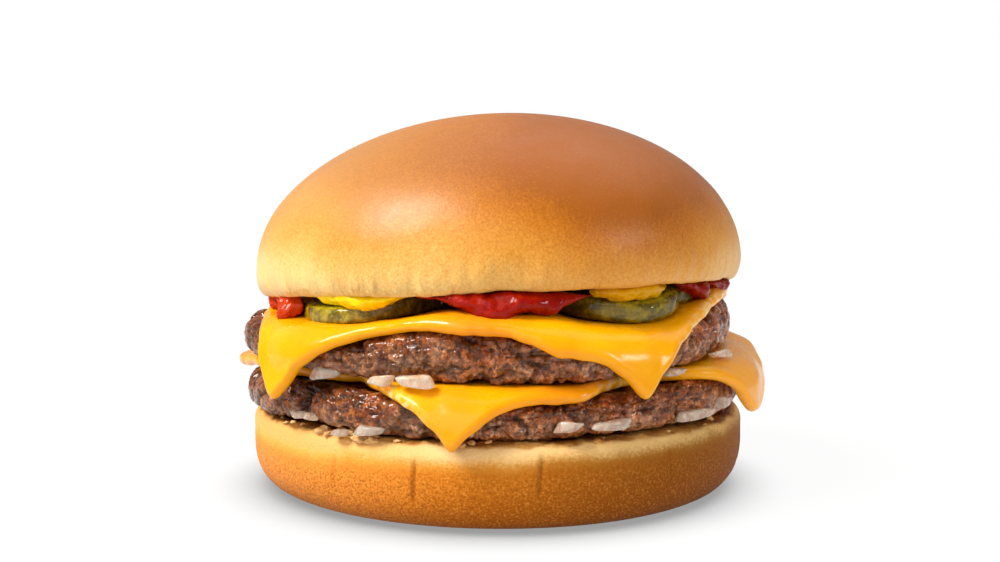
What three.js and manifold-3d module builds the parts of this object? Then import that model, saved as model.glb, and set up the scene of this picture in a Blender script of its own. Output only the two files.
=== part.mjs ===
// A double cheeseburger: a domed bun crown over a bun heel, with two beef patties, two slices of
// melted cheese, pickle slices, mustard, ketchup and chopped onion between them.
// Millimetres, +Z up. The origin is the middle of the heel's flat base, and the front faces -Y.
// An azimuth is an angle about the vertical axis, in degrees: 0 at the front and 90 at the right, +X.
import * as THREE from "three";
import { mergeVertices } from "three/addons/utils/BufferGeometryUtils.js";
import Module from "manifold-3d";

const wasm = await Module();
wasm.setup();

// ---------------------------------------------------------------- driving dimensions
const GAP = 0.3; // clear space between neighbours

const BUN_SEGMENTS = 44;
const HEEL = { radius: 50.4, height: 16.2, foot: 42.6, waist: 10, rim: 3 }; // the waist is its widest height
const CROWN = {
  radius: 50,
  height: 35.6,
  rim: 2.4, // rounding between the cut face and the widest line
  waist: 4.8, // height of the widest line
  skew: 0.008, // the dome climbs to the right a little more than its cut face
  hollow: 2, // how far the fillings press the soft cut face up in its middle
  base: 39.7, // height of the cut face's middle
  slopeRight: 0.04, // the cut face climbs to the right
  slopeBack: -0.059, // and falls to the back
};

const PATTY_SEGMENTS = 56;
const PATTY_EDGE = 3.7; // width of the rounded edge
const CRAG = { depth: 1.9, size: 7 }; // relief of the coarse mince on the edge
const PATTY_LOWER = {
  seed: 3,
  bottomMiddle: HEEL.height + GAP,
  topMiddle: 23.8,
  radius: around([
    [-135, 50.6], [-90, 52.1], [-62, 51.4], [-47, 48.8], [-36, 50.8], [0, 50], [45, 50.2], [90, 50.4],
    [180, 50.2],
  ]),
  bottomRim: around([[-135, 16.7], [-70, 16.6], [-40, 17.3], [0, 16.6], [35, 17.4], [70, 17], [180, 16.7]]),
  topRim: around([
    [-135, 23.2], [-90, 23.1], [-60, 23.6], [-40, 24.1], [-20, 23.6], [2, 23.2], [28, 23.5], [60, 24.8],
    [90, 26.1], [108, 27.2], [135, 25.2], [180, 23.6],
  ]),
};
const PATTY_UPPER = {
  seed: 17,
  bottomMiddle: PATTY_LOWER.topMiddle + 3.4,
  topMiddle: 34.4,
  radius: around([
    [-135, 50.8], [-90, 52.9], [-60, 51], [-38, 49.8], [0, 49.4], [45, 49], [90, 47.8], [135, 49],
    [180, 49.6],
  ]),
  bottomRim: around([
    [-135, 26.5], [-90, 26.5], [-45, 27.1], [-20, 26.9], [2, 26.6], [14, 26.6], [28, 26.9], [60, 28.2],
    [90, 29.5], [108, 30.4], [135, 28.5], [180, 27],
  ]),
  topRim: around([
    [-135, 33.2], [-90, 34.3], [-58, 32.8], [-36, 33], [-24, 34.4], [-12, 35.9], [8, 35.4], [20, 34.2],
    [32, 33.1], [42, 34], [56, 36.2], [70, 37.6], [90, 37.6], [135, 35.6], [180, 33],
  ]),
};

const SLICE_THICKNESS = 2.3;
const SLICE_LIFT = 0.55; // how far a slice stays off the coarse mince
const SLICE_SEGMENTS = 96;
// A melted slice laid on a patty. Its reach is how far the flat slice goes from the middle at each
// azimuth, peaking at its corners. It bends over the patty's edge and hangs where it reaches past it.
const SLICE_LOWER = {
  patty: PATTY_LOWER,
  reach: around([
    [-97, 55.8], [-91, 53.6], [-84, 50.8], [-74, 48], [-56, 45], [-38, 43.6], [-29, 46.6], [-24, 48.9],
    [-16, 52.1], [-12, 54.5], [-8.6, 57], [-5, 54.4], [0, 51.4], [6, 50], [18, 49], [25, 46.4],
    [32, 43], [42, 43.8], [50, 48.5], [60, 52.6], [65, 57.5], [69, 59], [73, 58.6], [79, 56], [88, 54.6],
    [98, 54.4], [106, 53], [113, 49.6], [126, 47.8], [155, 52], [166, 56], [171, 58], [176, 56], [188, 51.6],
    [215, 48], [235, 49], [252, 52],
  ]),
  // the steepest it hangs, in degrees
  lean: (azimuth) => 82 - 74 * bump(azimuth, -98, 26) - 52 * bump(azimuth, 99, 14),
  bend: (azimuth) => 5 + 3 * bump(azimuth, -98, 22) + 5 * bump(azimuth, 99, 14),
};
const SLICE_UPPER = {
  patty: PATTY_UPPER,
  reach: around([
    [-90, 46.4], [-78, 47.6], [-66, 49.8], [-57, 53], [-53.2, 58], [-50, 60.9], [-46.6, 58.6], [-43, 54.8],
    [-36, 51], [-29, 48.7], [-18, 48.6], [-10, 50], [2, 50.5], [10, 52.3], [20, 53.3], [25, 55.4],
    [29.5, 58.4], [34, 54.8], [40, 51.2], [48, 48.9], [60, 47.2], [74, 46.5], [90, 47], [108, 52], [115, 56],
    [120, 58.4], [125, 56], [133, 51.8], [155, 48.6], [180, 49], [202, 52], [211, 57], [216, 59.4],
    [221, 57], [230, 52], [250, 47.4],
  ]),
  lean: () => 82,
  bend: () => 5,
};

const PICKLE_LIFT = 0.4; // how far a pickle slice stays off the cheese
const PICKLES = {
  left: { middle: [-23.6, -25.8], radius: 13.1, thickness: 3 },
  right: { middle: [21.5, -28.2], radius: 12.2, thickness: 4 },
  rear: { middle: [27.8, -18.6], radius: 11.4, thickness: 3 },
};

// ---------------------------------------------------------------- small helpers
function radians(degrees) {
  return (degrees * Math.PI) / 180;
}

function azimuthOf(x, y) {
  return (Math.atan2(x, -y) * 180) / Math.PI;
}

function mix(a, b, t) {
  return a + (b - a) * t;
}

function smoothstep(low, high, value) {
  const t = Math.min(1, Math.max(0, (value - low) / (high - low)));
  return t * t * (3 - 2 * t);
}

// A bump of height 1 at the middle azimuth that fades over the width, both in degrees.
function bump(azimuth, middle, width) {
  const away = ((((azimuth - middle + 180) % 360) + 360) % 360) - 180;
  return Math.exp(-((away / width) ** 2));
}

// A smooth closed curve through [azimuth, value] pairs, given in order of azimuth.
function around(knots) {
  const count = knots.length;
  const knot = (i) => {
    const turns = Math.floor(i / count);
    const [azimuth, value] = knots[i - turns * count];
    return [azimuth + 360 * turns, value];
  };
  const slope = (i) => {
    const [before, after] = [knot(i - 1), knot(i + 1)];
    return (after[1] - before[1]) / (after[0] - before[0]);
  };
  return (azimuth) => {
    const start = knots[0][0];
    const wrapped = start + ((((azimuth - start) % 360) + 360) % 360);
    let i = 0;
    while (knot(i + 1)[0] <= wrapped) i += 1;
    const [[a, from], [b, to]] = [knot(i), knot(i + 1)];
    const t = (wrapped - a) / (b - a);
    const pull = slope(i) * t * (1 - t) ** 2 - slope(i + 1) * t * t * (1 - t);
    return mix(from, to, t * t * (3 - 2 * t)) + pull * (b - a);
  };
}

// Smooth noise between -1 and 1, the same each run.
function noise(x, y, z) {
  const [i, j, k] = [Math.floor(x), Math.floor(y), Math.floor(z)];
  const [fx, fy, fz] = [x - i, y - j, z - k].map((t) => t * t * (3 - 2 * t));
  const at = (a, b, c) => {
    const value = Math.sin((i + a) * 127.1 + (j + b) * 311.7 + (k + c) * 74.7) * 43758.5453;
    return 2 * (value - Math.floor(value)) - 1;
  };
  const row = (b, c) => mix(at(0, b, c), at(1, b, c), fx);
  const sheet = (c) => mix(row(0, c), row(1, c), fy);
  return mix(sheet(0), sheet(1), fz);
}

// Points along an arc of an ellipse, as [x, y] pairs, from one angle to another in degrees.
function arc(middle, radii, from, to, steps) {
  const points = [];
  for (let i = 0; i <= steps; i += 1) {
    const angle = radians(mix(from, to, i / steps));
    points.push([middle[0] + radii[0] * Math.cos(angle), middle[1] + radii[1] * Math.sin(angle)]);
  }
  return points;
}

// Moves each vertex of a closed base shape with move(vector), which changes it in place.
function shaped(base, move) {
  base.deleteAttribute("normal");
  base.deleteAttribute("uv");
  const geometry = mergeVertices(base);
  const position = geometry.getAttribute("position");
  const corner = new THREE.Vector3();
  for (let i = 0; i < position.count; i += 1) {
    corner.fromBufferAttribute(position, i);
    move(corner);
    position.setXYZ(i, corner.x, corner.y, corner.z);
  }
  const kept = [];
  const index = geometry.index.array;
  for (let i = 0; i < index.length; i += 3) {
    const [a, b, c] = [index[i], index[i + 1], index[i + 2]];
    if (a !== b && b !== c && c !== a) kept.push(a, b, c);
  }
  geometry.setIndex(kept);
  return geometry;
}

// A solid of revolution about Z from [radius, height] pairs, from the bottom of the axis to its top.
function turned(profile, segments, move) {
  const points = profile.map(([radius, height]) => new THREE.Vector2(radius, height));
  const base = new THREE.LatheGeometry(points, segments).rotateX(Math.PI / 2);
  return shaped(base, move);
}

function toSolid(geometry) {
  const mesh = new wasm.Mesh({
    numProp: 3,
    vertProperties: geometry.getAttribute("position").array,
    triVerts: new Uint32Array(geometry.index.array),
  });
  return new wasm.Manifold(mesh);
}

function toGeometry(solid) {
  const mesh = solid.getMesh();
  const geometry = new THREE.BufferGeometry();
  geometry.setAttribute("position", new THREE.BufferAttribute(mesh.vertProperties, 3));
  geometry.setIndex(new THREE.BufferAttribute(mesh.triVerts, 1));
  return geometry;
}

// Cuts the grown neighbours out of a piece, keeps its largest part and drops needless facets.
function fitted(geometry, neighbours, tolerance = 0.04) {
  let solid = toSolid(geometry);
  for (const neighbour of neighbours) solid = solid.subtract(neighbour);
  const parts = solid.decompose();
  const largest = parts.reduce((a, b) => (a.volume() > b.volume() ? a : b));
  return toGeometry(largest.simplify(tolerance));
}

// ---------------------------------------------------------------- the bun
function heelGeometry(grow = 0) {
  const { radius, height, foot, waist, rim } = HEEL;
  const full = (value) => Math.sign(value) * Math.abs(value) ** 0.85;
  const side = arc([0, 0], [1, 1], -90, 0, 6).map(([out, up]) => [
    foot + (radius - foot + grow) * full(out),
    waist + (waist + grow) * full(up),
  ]);
  const profile = [
    [0, -grow],
    [foot * 0.6, -grow],
    ...side,
    ...arc([radius - rim, height - rim], [rim + grow, rim + grow], 0, 90, 3),
    [radius * 0.5, height + grow],
    [0, height + grow],
  ];
  return turned(profile, BUN_SEGMENTS, (p) => {
    const swell = 1 + 0.007 * Math.sin(radians(3 * azimuthOf(p.x, p.y) + 40));
    p.x *= swell;
    p.y *= swell;
  });
}

function crownGeometry(grow = 0) {
  const { radius, height, rim, waist, hollow } = CROWN;
  const flat = radius - rim;
  const profile = [
    [0, hollow - grow],
    [flat * 0.7, hollow * 0.9 - grow],
    [flat * 0.93, hollow * 0.3 - grow],
    ...arc([flat, waist], [rim + grow, waist + grow], -90, 0, 4),
    ...arc([0, waist], [radius + grow, height - waist + grow], 0, 90, 11).slice(1, -1),
    [0, height + grow],
  ];
  const tip = new THREE.Matrix4()
    .makeTranslation(0, 0, CROWN.base)
    .multiply(new THREE.Matrix4().makeRotationY(-CROWN.slopeRight))
    .multiply(new THREE.Matrix4().makeRotationX(CROWN.slopeBack));
  return turned(profile, BUN_SEGMENTS, (p) => {
    const swell = 1 + 0.005 * Math.sin(radians(2 * azimuthOf(p.x, p.y) + 60));
    p.x *= swell;
    p.y *= swell;
    p.z += CROWN.skew * p.x * smoothstep(0, waist, p.z);
    p.applyMatrix4(tip);
  });
}

// ---------------------------------------------------------------- the patties
// From its middle height to its rim height a patty's face changes over this range of the radius.
function faceHeight(middle, rim, share) {
  return mix(middle, rim, smoothstep(0.5, 0.93, share));
}

function pattyTop(patty, azimuth, distance) {
  return faceHeight(patty.topMiddle, patty.topRim(azimuth), distance / patty.radius(azimuth));
}

function pattyGeometry(patty, grow = 0) {
  const flat = 1 - PATTY_EDGE / 50; // the profile is of radius 1 and half height 1
  const boxy = (value) => Math.sign(value) * Math.abs(value) ** 0.85;
  const edge = arc([0, 0], [1, 1], -90, 90, 7).map(([out, up]) => [flat + (1 - flat) * boxy(out), boxy(up)]);
  const inner = [0.5, 0.8].map((share) => share * flat);
  const profile = [
    [0, -1],
    ...inner.map((share) => [share, -1]),
    ...edge,
    ...inner.reverse().map((share) => [share, 1]),
    [0, 1],
  ];
  return turned(profile, PATTY_SEGMENTS, (p) => {
    const azimuth = azimuthOf(p.x, p.y);
    const share = Math.hypot(p.x, p.y);
    const reach = patty.radius(azimuth) + grow;
    const top = faceHeight(patty.topMiddle, patty.topRim(azimuth), share) + grow;
    const bottom = faceHeight(patty.bottomMiddle, patty.bottomRim(azimuth), share) - grow;
    const z = mix(bottom, top, (p.z + 1) / 2);
    const lump = noise((p.x * 50) / CRAG.size + patty.seed, (p.y * 50) / CRAG.size, z / CRAG.size);
    const dent = smoothstep(flat, flat + 0.04, share) * CRAG.depth * (0.5 - 0.5 * lump);
    p.set(p.x * (reach - dent), p.y * (reach - dent), z);
  });
}

// ---------------------------------------------------------------- the cheese
// Where a point of the flat slice ends up. The lift is its height above the slice's underside.
function drape(slice, azimuth, distance, lift) {
  const { patty } = slice;
  const start = patty.radius(azimuth) - PATTY_EDGE;
  const bend = slice.bend(azimuth);
  const past = Math.max(0, distance - start);
  const angle = Math.min(past / bend, radians(slice.lean(azimuth)));
  const straight = past - angle * bend;
  const [sine, cosine] = [Math.sin(angle), Math.cos(angle)];
  const inner = Math.min(distance, start);
  const radius = inner + bend * sine + straight * cosine + lift * sine;
  const rest = pattyTop(patty, azimuth, inner) + SLICE_LIFT;
  const z = rest - bend * (1 - cosine) - straight * sine + lift * cosine;
  return [radius * Math.sin(radians(azimuth)), -radius * Math.cos(radians(azimuth)), z];
}

function sliceGeometry(slice, grow = 0) {
  const rings = [0.3, 0.5, 0.6, 0.7, 0.8, 0.9, 0.97]; // those from 0.5 on are in the bent part
  const profile = [
    [0, -1],
    ...rings.map((ring) => [ring, -1]),
    [1, 0],
    ...rings.toReversed().map((ring) => [ring, 1]),
    [0, 1],
  ];
  return turned(profile, SLICE_SEGMENTS, (p) => {
    const azimuth = azimuthOf(p.x, p.y);
    const ring = Math.hypot(p.x, p.y);
    const reach = slice.reach(azimuth) + grow;
    const flat = Math.min(slice.patty.radius(azimuth) - PATTY_EDGE, reach - 4);
    const distance = ring < 0.5 ? flat * ring * 2 : mix(flat, reach, ring * 2 - 1);
    const lift = mix(-grow, SLICE_THICKNESS + grow, (p.z + 1) / 2);
    p.set(...drape(slice, azimuth, distance, lift));
  });
}

// ---------------------------------------------------------------- the pickles
// The top of the upper cheese over a point, easing down towards the patty's edge.
function cheeseTop(x, y) {
  const distance = Math.hypot(x, y);
  const azimuth = azimuthOf(x, y);
  const droop = 0.06 * Math.max(0, distance - 45) ** 2;
  return pattyTop(PATTY_UPPER, azimuth, Math.min(distance, 44)) + SLICE_LIFT + SLICE_THICKNESS - droop;
}

function pickleGeometry({ middle, radius, thickness }, grow = 0) {
  const skin = thickness * 0.3;
  const profile = [
    [0, -grow],
    [(radius - skin) * 0.6, -grow],
    ...arc([radius - skin, skin], [skin + grow, skin + grow], -90, 0, 3),
    ...arc([radius - skin, thickness - skin], [skin + grow, skin + grow], 0, 90, 3),
    [(radius - skin) * 0.6, thickness + grow],
    [0, thickness + grow],
  ];
  return turned(profile, 24, (p) => {
    p.x += middle[0];
    p.y += middle[1];
    p.z += cheeseTop(p.x, p.y) + PICKLE_LIFT;
  });
}

// ---------------------------------------------------------------- the sauces
// A bead of sauce along the edge. Its shape says how low and how high it reaches at each azimuth.
function sauceGeometry({ from, to, radius, depth, low, high }, segments = [8, 9]) {
  const base = new THREE.SphereGeometry(1, segments[0], segments[1]);
  const floor = around([...low, [low[0][0] + 359, low[0][1]]]);
  return shaped(base, (p) => {
    const along = Math.sign(p.y) * Math.abs(Math.asin(Math.min(1, Math.abs(p.y))) / (Math.PI / 2)) ** 0.9;
    const azimuth = mix(from, to, (along + 1) / 2);
    const ring = Math.hypot(p.x, p.z) ** 0.6 / Math.max(1e-6, Math.hypot(p.x, p.z));
    const out = radius + (depth / 2) * p.x * ring;
    const bottom = floor(azimuth);
    const z = (bottom + high) / 2 + ((high - bottom) / 2) * p.z * ring;
    p.set(out * Math.sin(radians(azimuth)), -out * Math.cos(radians(azimuth)), z);
  });
}

// ---------------------------------------------------------------- the onion
// A short length of a curved onion layer, standing on the edge at an azimuth and a height.
function onionGeometry([azimuth, radius, z, length, height, turn]) {
  const base = new THREE.BoxGeometry(2, 2, 2, 3, 1, 1);
  const place = new THREE.Matrix4()
    .makeRotationZ(radians(azimuth))
    .multiply(new THREE.Matrix4().makeTranslation(0, -radius, z))
    .multiply(new THREE.Matrix4().makeRotationZ(radians(turn)))
    .multiply(new THREE.Matrix4().makeRotationX(radians(turn * 0.6)));
  return shaped(base, (p) => {
    const [along, across, up] = [p.x, p.y, p.z];
    p.x = (along * length) / 2 + 0.5 * up;
    p.y = (across * 2.2) / 2 + 0.7 * along * along;
    p.z = (up * height * (1 - 0.25 * along * along)) / 2;
    p.applyMatrix4(place);
  });
}

// ---------------------------------------------------------------- assembly
const burger = new THREE.Group();

function add(name, geometry, color, roughness) {
  const mesh = new THREE.Mesh(geometry, new THREE.MeshStandardMaterial({ color, roughness, metalness: 0 }));
  mesh.name = name;
  burger.add(mesh);
}

const grown = {
  heel: toSolid(heelGeometry(GAP)),
  crown: toSolid(crownGeometry(GAP)),
  pattyLower: toSolid(pattyGeometry(PATTY_LOWER, GAP)),
  pattyUpper: toSolid(pattyGeometry(PATTY_UPPER, GAP)),
  cheeseLower: toSolid(sliceGeometry(SLICE_LOWER, GAP)),
  cheeseUpper: toSolid(sliceGeometry(SLICE_UPPER, GAP)),
  pickleLeft: toSolid(pickleGeometry(PICKLES.left, GAP)),
  pickleRight: toSolid(pickleGeometry(PICKLES.right, GAP)),
  pickleRear: toSolid(pickleGeometry(PICKLES.rear, GAP)),
};

add("bun_heel", heelGeometry(), 0xc98438, 0.75);
add("bun_crown", crownGeometry(), 0xd08a3c, 0.5);
add("patty_lower", pattyGeometry(PATTY_LOWER), 0x6b4130, 0.55);
add("patty_upper", pattyGeometry(PATTY_UPPER), 0x6b4130, 0.55);
const patties = [grown.pattyLower, grown.pattyUpper];
add("cheese_lower", fitted(sliceGeometry(SLICE_LOWER), patties, 0.13), 0xfbb81c, 0.4);
add("cheese_upper", fitted(sliceGeometry(SLICE_UPPER), patties, 0.13), 0xfbb81c, 0.4);
add("pickle_left", fitted(pickleGeometry(PICKLES.left), [], 0.1), 0x7a7a2a, 0.3);
add("pickle_right", fitted(pickleGeometry(PICKLES.right), [], 0.1), 0x7a7a2a, 0.3);
const beside = [grown.crown, grown.pickleRight];
add("pickle_rear", fitted(pickleGeometry(PICKLES.rear), beside, 0.15), 0x5f6a24, 0.3);

const SAUCES = {
  ketchup_front: {
    from: -19, to: 21, radius: 46.2, depth: 6, high: 42.6,
    low: [[-19, 41], [-13, 40.2], [-6, 38.6], [0, 37.1], [6, 38.6], [11, 37.9], [15, 39.6], [21, 40.6]],
  },
  ketchup_left_1: { from: -76, to: -67, radius: 44.8, depth: 5, high: 40.4, low: [[-76, 36.8], [-70, 36.4]] },
  ketchup_left_2: {
    from: -66, to: -53.6, radius: 45.6, depth: 5, high: 40.8, low: [[-66, 36], [-60, 35.2], [-54, 36]],
  },
  ketchup_right: {
    from: 46, to: 63, radius: 45.2, depth: 5, high: 43.2,
    low: [[46, 42], [51, 41], [56, 39.2], [61, 38.6], [63, 39]],
  },
  ketchup_side: { from: 65, to: 86, radius: 45, depth: 5, high: 43, low: [[65, 40.4], [76, 39.2], [86, 40]] },
  ketchup_back: {
    from: 166, to: 190, radius: 45.6, depth: 6, high: 38.6, low: [[166, 35], [179, 34], [190, 35.2]],
  },
  mustard_back: {
    from: 98, to: 112, radius: 45, depth: 6, high: 41.6, low: [[98, 38.4], [105, 37.9], [112, 38.2]],
  },
  mustard_left: {
    from: -52.6, to: -20, radius: 44.8, depth: 7, high: 42.4,
    low: [[-52, 39.6], [-42, 39.2], [-34, 37.9], [-29, 38.4], [-20, 40.4]],
  },
  mustard_right: {
    from: 22, to: 45, radius: 43.6, depth: 7, high: 44, low: [[22, 40.2], [33, 39.8], [45, 40.6]],
  },
};
const pickles = [grown.pickleLeft, grown.pickleRight, grown.pickleRear];
const aboveCheese = [grown.crown, grown.cheeseUpper, grown.pattyUpper, ...pickles];
for (const [name, sauce] of Object.entries(SAUCES)) {
  const red = name.startsWith("ketchup");
  add(name, fitted(sauceGeometry(sauce), aboveCheese, 0.22), red ? 0xa81408 : 0xf2c200, 0.25);
}

// Each piece is its azimuth, distance from the middle, height, length, thickness and turn.
const ONIONS = [
  [-39.9, 48.8, 26.9, 5.7, 2.6, 14], [-24.4, 50.8, 27, 4.2, 2.2, -10], [-16.5, 51.2, 27.1, 6.2, 2.5, 4],
  [42.6, 48.4, 26.9, 5, 1.4, 0], [114, 49.6, 27.9, 5.6, 2.6, 12], [143, 49.8, 26.8, 6.4, 2.4, -16],
  [-150, 50.2, 26, 5, 2.4, 10], [-126, 50.6, 25.8, 6, 2.4, -8], [60.2, 49.4, 28.7, 5.4, 1.9, -16],
];
const ONIONS_BELOW = [
  [-47.4, 50.4, 18.7, 3.4, 1.7, 8], [-42.9, 50.6, 18.8, 2.6, 1.6, -20], [-34.4, 50.8, 16.9, 2.8, 1.5, -10],
  [-26.7, 50.6, 17.8, 5.4, 2.2, 10], [13.8, 50.6, 19.2, 4.6, 2.4, -12], [23.2, 50.8, 19.1, 7, 2, 6],
  [46.6, 50.6, 18.9, 9.6, 2.2, -4], [57.9, 50.8, 20, 4.2, 2.2, 12], [108, 50.4, 18.4, 6.6, 2.2, 10],
  [152, 50.4, 18, 5, 2.2, -14], [-136, 50.4, 18, 6.4, 2.2, 14],
];
const betweenPatties = [grown.pattyLower, grown.pattyUpper, grown.cheeseLower, grown.cheeseUpper];
for (const [i, onion] of ONIONS.entries()) {
  add(`onion_upper_${i + 1}`, fitted(onionGeometry(onion), betweenPatties, 0.2), 0xe9e2d4, 0.3);
}
const overHeel = [grown.heel, grown.pattyLower, grown.cheeseLower];
for (const [i, onion] of ONIONS_BELOW.entries()) {
  add(`onion_lower_${i + 1}`, fitted(onionGeometry(onion), overHeel, 0.2), 0xe9e2d4, 0.3);
}

export default burger;
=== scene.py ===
"""A double cheeseburger. The solids' forms are made again here from the same named sizes, at a finer
grain and in millimetres, and each piece replaces its solid. An azimuth is in degrees about the
vertical: 0 at the front (-Y), 90 at the right (+X)."""
import math
import bpy
import numpy as np
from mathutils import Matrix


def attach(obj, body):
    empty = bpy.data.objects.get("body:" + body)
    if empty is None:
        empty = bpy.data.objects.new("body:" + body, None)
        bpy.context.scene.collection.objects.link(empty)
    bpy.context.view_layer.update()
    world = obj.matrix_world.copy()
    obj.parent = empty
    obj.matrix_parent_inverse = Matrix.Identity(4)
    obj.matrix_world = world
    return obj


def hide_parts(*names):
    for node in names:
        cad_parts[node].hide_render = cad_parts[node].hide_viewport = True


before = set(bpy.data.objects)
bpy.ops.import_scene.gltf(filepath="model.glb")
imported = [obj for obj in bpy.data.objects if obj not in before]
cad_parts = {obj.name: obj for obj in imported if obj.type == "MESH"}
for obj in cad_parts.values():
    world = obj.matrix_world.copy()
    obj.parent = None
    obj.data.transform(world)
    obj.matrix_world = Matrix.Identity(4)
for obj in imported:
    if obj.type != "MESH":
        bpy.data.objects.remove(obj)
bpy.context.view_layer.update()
scene = bpy.context.scene

# ---- sizes, as in the solids
GAP = 0.3  # clear space between the heel and the lower patty
HEEL = dict(radius=50.4, height=16.2, foot=42.6, waist=10.0, rim=3.0)
CROWN = dict(radius=50.0, height=35.6, rim=2.4, waist=4.8, skew=0.008, hollow=2.0, base=39.7,
             right=0.04, back=-0.059)
PATTY_EDGE = 3.7  # width of the rounded edge
PATTY_STACK = 3.4  # from the lower patty's top to the upper one's underside
SLICE_THICKNESS = 2.3
SLICE_LIFT = 0.55  # how far a slice stays off its patty
SLICE_BEND = 5  # radius of the bend over the patty's edge
SLICE_LEAN = 82  # degrees from flat that its hanging part reaches
PICKLE_LIFT = 0.4  # how far a pickle stays off the cheese

# ---- sizes of the finer forms
PICKLE_SINK = 0.2  # a dressed pickle lies this much lower than its solid
FLUTE_DEPTH = 0.58  # of the upright flutes over the crown's rim
MINCE_INSET = 0.8  # of the meat's surface, before its lumps rise from it
MINCE_RISE = 0.75  # of the tallest lumps
MINCE_PIT = 2.9  # of the deepest pits
SWELL_HEIGHT = 0.9  # of the one soft swell on each slice
DRIP_AZIMUTH = -57  # of the drip of ketchup at the left
CRUMBS = 70
FRONT_CRUMBS = 26  # so many of them lie at the front left
LARGE_CRUMBS = 14

# ---- grain of the meshes
CROWN_COLUMNS = 640
HEEL_COLUMNS = 720
PATTY_COLUMNS = 900
SLICE_COLUMNS = 640
PICKLE_COLUMNS = 220
SAUCE_GRID = (90, 64)
ONION_GRID = (30, 48)
CRUMB_GRID = (9, 12)


# ---- small helpers
def mix(a, b, t):
    return a + (b - a) * t


def smooth(low, high, value):
    """0 below low, 1 above high and an S curve between them."""
    t = np.clip((value - low) / (high - low), 0, 1)
    return t * t * (3 - 2 * t)


def bump(azimuth, middle, width):
    """1 at the middle, falling off over that many degrees to both sides."""
    away = np.mod(azimuth - middle + 180, 360) - 180
    return np.exp(-((away / width) ** 2))


def around(*knots):
    """A smooth closed curve through (azimuth, value) pairs, given in order of azimuth."""
    az, val = np.array(knots, float).T
    a = np.concatenate([az[-2:] - 360, az, az[:3] + 360])
    v = np.concatenate([val[-2:], val, val[:3]])
    slope = np.zeros_like(v)
    slope[1:-1] = (v[2:] - v[:-2]) / (a[2:] - a[:-2])

    def curve(x):
        w = az[0] + np.mod(np.asarray(x, float) - az[0], 360)
        i = np.searchsorted(a, w, "right") - 1
        h = a[i + 1] - a[i]
        t = (w - a[i]) / h
        pull = slope[i] * t * (1 - t) ** 2 - slope[i + 1] * t * t * (1 - t)
        return mix(v[i], v[i + 1], t * t * (3 - 2 * t)) + pull * h

    return curve


def lattice(i, j, k, seed):
    """A fixed number from 0 to 1 for each lattice point."""
    i, j, k = (np.asarray(c, np.int64).astype(np.uint32) for c in (i, j, k))
    h = i * np.uint32(374761393) + j * np.uint32(668265263) + k * np.uint32(2246822519)
    h = h + np.uint32(seed * 977 + 11)
    h = (h ^ (h >> np.uint32(13))) * np.uint32(1274126177)
    h = (h ^ (h >> np.uint32(15))) * np.uint32(2654435761)
    return (h ^ (h >> np.uint32(16))).astype(float) / 2**32


def noise(p, size, seed=0):
    """Smooth noise from -1 to 1 at points p of shape (..., 3), with features of that size."""
    q = p / size
    base = np.floor(q)
    f = q - base
    f = f * f * f * (f * (f * 6 - 15) + 10)
    i, j, k = base[..., 0], base[..., 1], base[..., 2]
    total = 0
    for a in (0, 1):
        for b in (0, 1):
            for c in (0, 1):
                weight = 1
                for axis, on in enumerate((a, b, c)):
                    weight = weight * (f[..., axis] if on else 1 - f[..., axis])
                total = total + weight * lattice(i + a, j + b, k + c, seed)
    return total * 2 - 1


def layered(p, size, seed=0, layers=3):
    """Noise with finer layers on it, each half the size and half the strength of the last."""
    total = sum(noise(p, size / 2**n, seed + n) / 2**n for n in range(layers))
    return total / sum(1 / 2**n for n in range(layers))


def cells(p, size, seed=0):
    """Distances to the nearest and to the second nearest scattered point, in cell sizes."""
    q = p / size
    base = np.floor(q)
    first = np.full(q.shape[:-1], 9.0)
    second = first.copy()
    for a in (-1, 0, 1):
        for b in (-1, 0, 1):
            for c in (-1, 0, 1):
                i, j, k = base[..., 0] + a, base[..., 1] + b, base[..., 2] + c
                d = 0
                for axis, cell in enumerate((i, j, k)):
                    d = d + (cell + lattice(i, j, k, seed + 7 * axis) - q[..., axis]) ** 2
                d = np.sqrt(d)
                second = np.minimum(second, np.maximum(first, d))
                first = np.minimum(first, d)
    return first, second


def arc(middle, radii, start, end, steps):
    angle = np.radians(np.linspace(start, end, steps + 1))
    return np.stack([middle[0] + radii[0] * np.cos(angle), middle[1] + radii[1] * np.sin(angle)], -1)


def polar(azimuth, radius, z):
    """Points from azimuths in degrees, distances from the axis and heights."""
    a = np.radians(azimuth)
    return np.stack(np.broadcast_arrays(radius * np.sin(a), -radius * np.cos(a), z), -1)


def azimuth_of(p):
    return np.degrees(np.arctan2(p[..., 0], -p[..., 1]))


def normals(p):
    """Outward normals of a grid of points: rows go up, columns go round."""
    across = np.roll(p, -1, 1) - np.roll(p, 1, 1)
    n = np.cross(across, np.gradient(p, axis=0))
    return n / np.maximum(np.linalg.norm(n, axis=-1, keepdims=True), 1e-9)


def displaced(p, amount):
    return p + normals(p) * amount[..., None]


def from_axis(p):
    return np.hypot(p[..., 0], p[..., 1])


def boxy(v, power):
    """A sine or cosine made squarer by a power under 1."""
    return np.sign(v) * np.abs(v) ** power


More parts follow.
